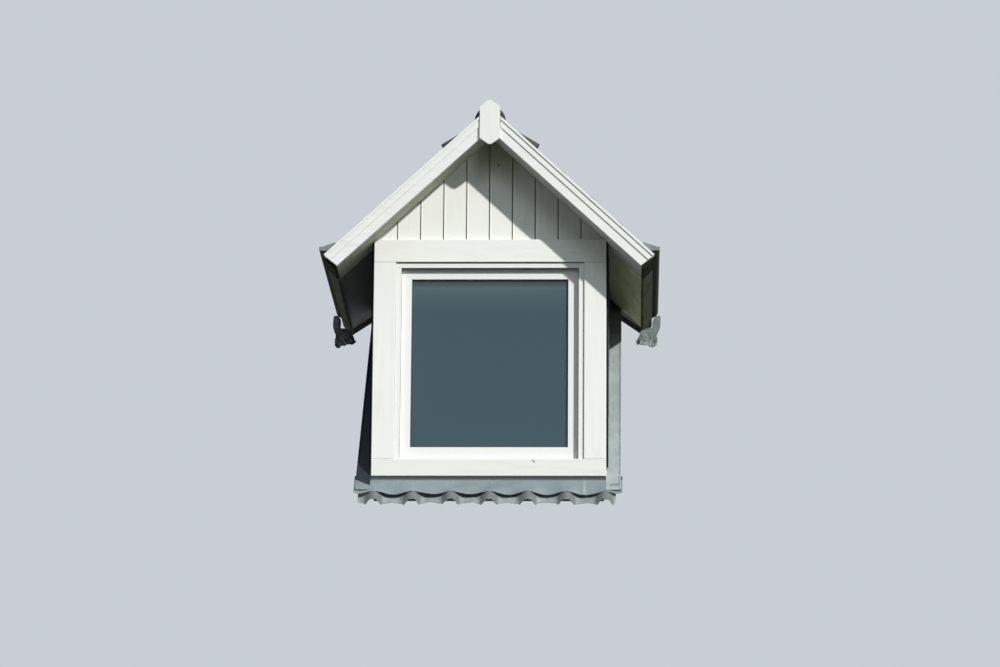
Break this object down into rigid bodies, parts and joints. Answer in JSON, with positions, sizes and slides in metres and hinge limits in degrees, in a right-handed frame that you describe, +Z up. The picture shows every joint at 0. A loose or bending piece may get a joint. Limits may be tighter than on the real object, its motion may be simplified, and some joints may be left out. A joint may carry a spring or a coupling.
{
  "type": "gabled dormer window",
  "caption": "Gabled roof dormer with a fixed window in a painted casing, boarded gable, bargeboards, tiled roof, small gutters and a dressed zinc and lead apron.",
  "frame": {"origin": "on the sloping seat of the main roof's rafters, in the middle of the front sole", "axes": "+X right seen from the street, +Y back towards the main ridge, +Z up"},
  "size_m": [1.5252, 2.0063, 1.8513],
  "materials": {
    "carcass_timber": "sawn softwood",
    "painted_timber": "satin white paint",
    "soffit_board": "matt off-white paint",
    "glass": "clear, slightly dusty",
    "roof_tile": "weathered dark grey clay",
    "zinc": "matt weathered zinc",
    "lead": "dull dressed lead"
  },
  "bodies": {
    "root": {"apron": "zinc", "apron_lead": "lead", "barge_strip_left": "painted_timber", "barge_strip_right": "painted_timber", "bargeboard_left": "painted_timber", "bargeboard_right": "painted_timber", "casing_head": "painted_timber", "casing_left": "painted_timber", "casing_right": "painted_timber", "casing_sill": "painted_timber", "cheek_cladding_left": "zinc", "cheek_cladding_right": "zinc", "cheek_wall_left": "carcass_timber", "cheek_wall_right": "carcass_timber", "fascia_left": "painted_timber", "fascia_right": "painted_timber", "finial": "painted_timber", "front_sole": "carcass_timber", "front_wall": "carcass_timber", "gable_boards": "painted_timber", "glass_pane": "glass", "gutter_leads": "lead", "gutter_left": "zinc", "gutter_right": "zinc", "rafters_left": "carcass_timber", "rafters_right": "carcass_timber", "ridge_beam": "carcass_timber", "ridge_tiles": "roof_tile", "roof_deck_left": "carcass_timber", "roof_deck_right": "carcass_timber", "side_flashing_left": "zinc", "side_flashing_right": "zinc", "side_sole_left": "carcass_timber", "side_sole_right": "carcass_timber", "soffit_left": "soffit_board", "soffit_right": "soffit_board", "tiles_left": "roof_tile", "tiles_right": "roof_tile", "valley_board_left": "carcass_timber", "valley_board_right": "carcass_timber", "valley_flashing_left": "zinc", "valley_flashing_right": "zinc", "window_frame": "painted_timber", "window_lining": "carcass_timber", "window_sash": "painted_timber"}
  },
  "joints": []
}
